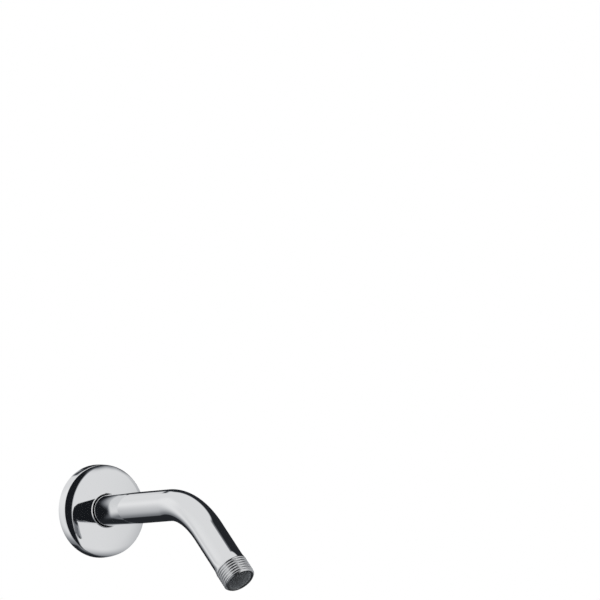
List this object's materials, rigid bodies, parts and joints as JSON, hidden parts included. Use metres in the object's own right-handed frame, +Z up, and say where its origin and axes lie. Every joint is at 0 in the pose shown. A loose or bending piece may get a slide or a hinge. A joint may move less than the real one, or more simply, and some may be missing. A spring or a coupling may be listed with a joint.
{
  "type": "shower arm",
  "caption": "Shower arm: a bent chromed tube with a male pipe thread at inlet and outlet, and a round escutcheon that slides on it to cover the wall opening.",
  "frame": {"origin": "where the inlet axis meets the finished wall, at the inner end of the inlet thread", "axes": "+Z up, +Y into the wall along the inlet axis, the arm stands out along -Y and bends down in the YZ plane"},
  "size_m": [0.06, 0.1788, 0.0863],
  "materials": {
    "tube_chrome": "polished chrome plate on brass",
    "escutcheon_chrome": "polished chrome plate on brass",
    "ring_rubber": "smooth black rubber"
  },
  "bodies": {
    "arm": {"arm_tube": "tube_chrome"},
    "ring": {"grip_ring": "ring_rubber"},
    "cover": {"escutcheon": "escutcheon_chrome"}
  },
  "joints": [
    {"name": "escutcheon_slide", "type": "slide", "parent": "arm", "child": "ring", "axis": [0, -1, 0], "range_m": [0, 0.08]},
    {"name": "escutcheon_turn", "type": "hinge", "parent": "ring", "child": "cover", "pos_m": [0, -0.0045, 0], "axis": [0, -1, 0], "continuous": true}
  ]
}
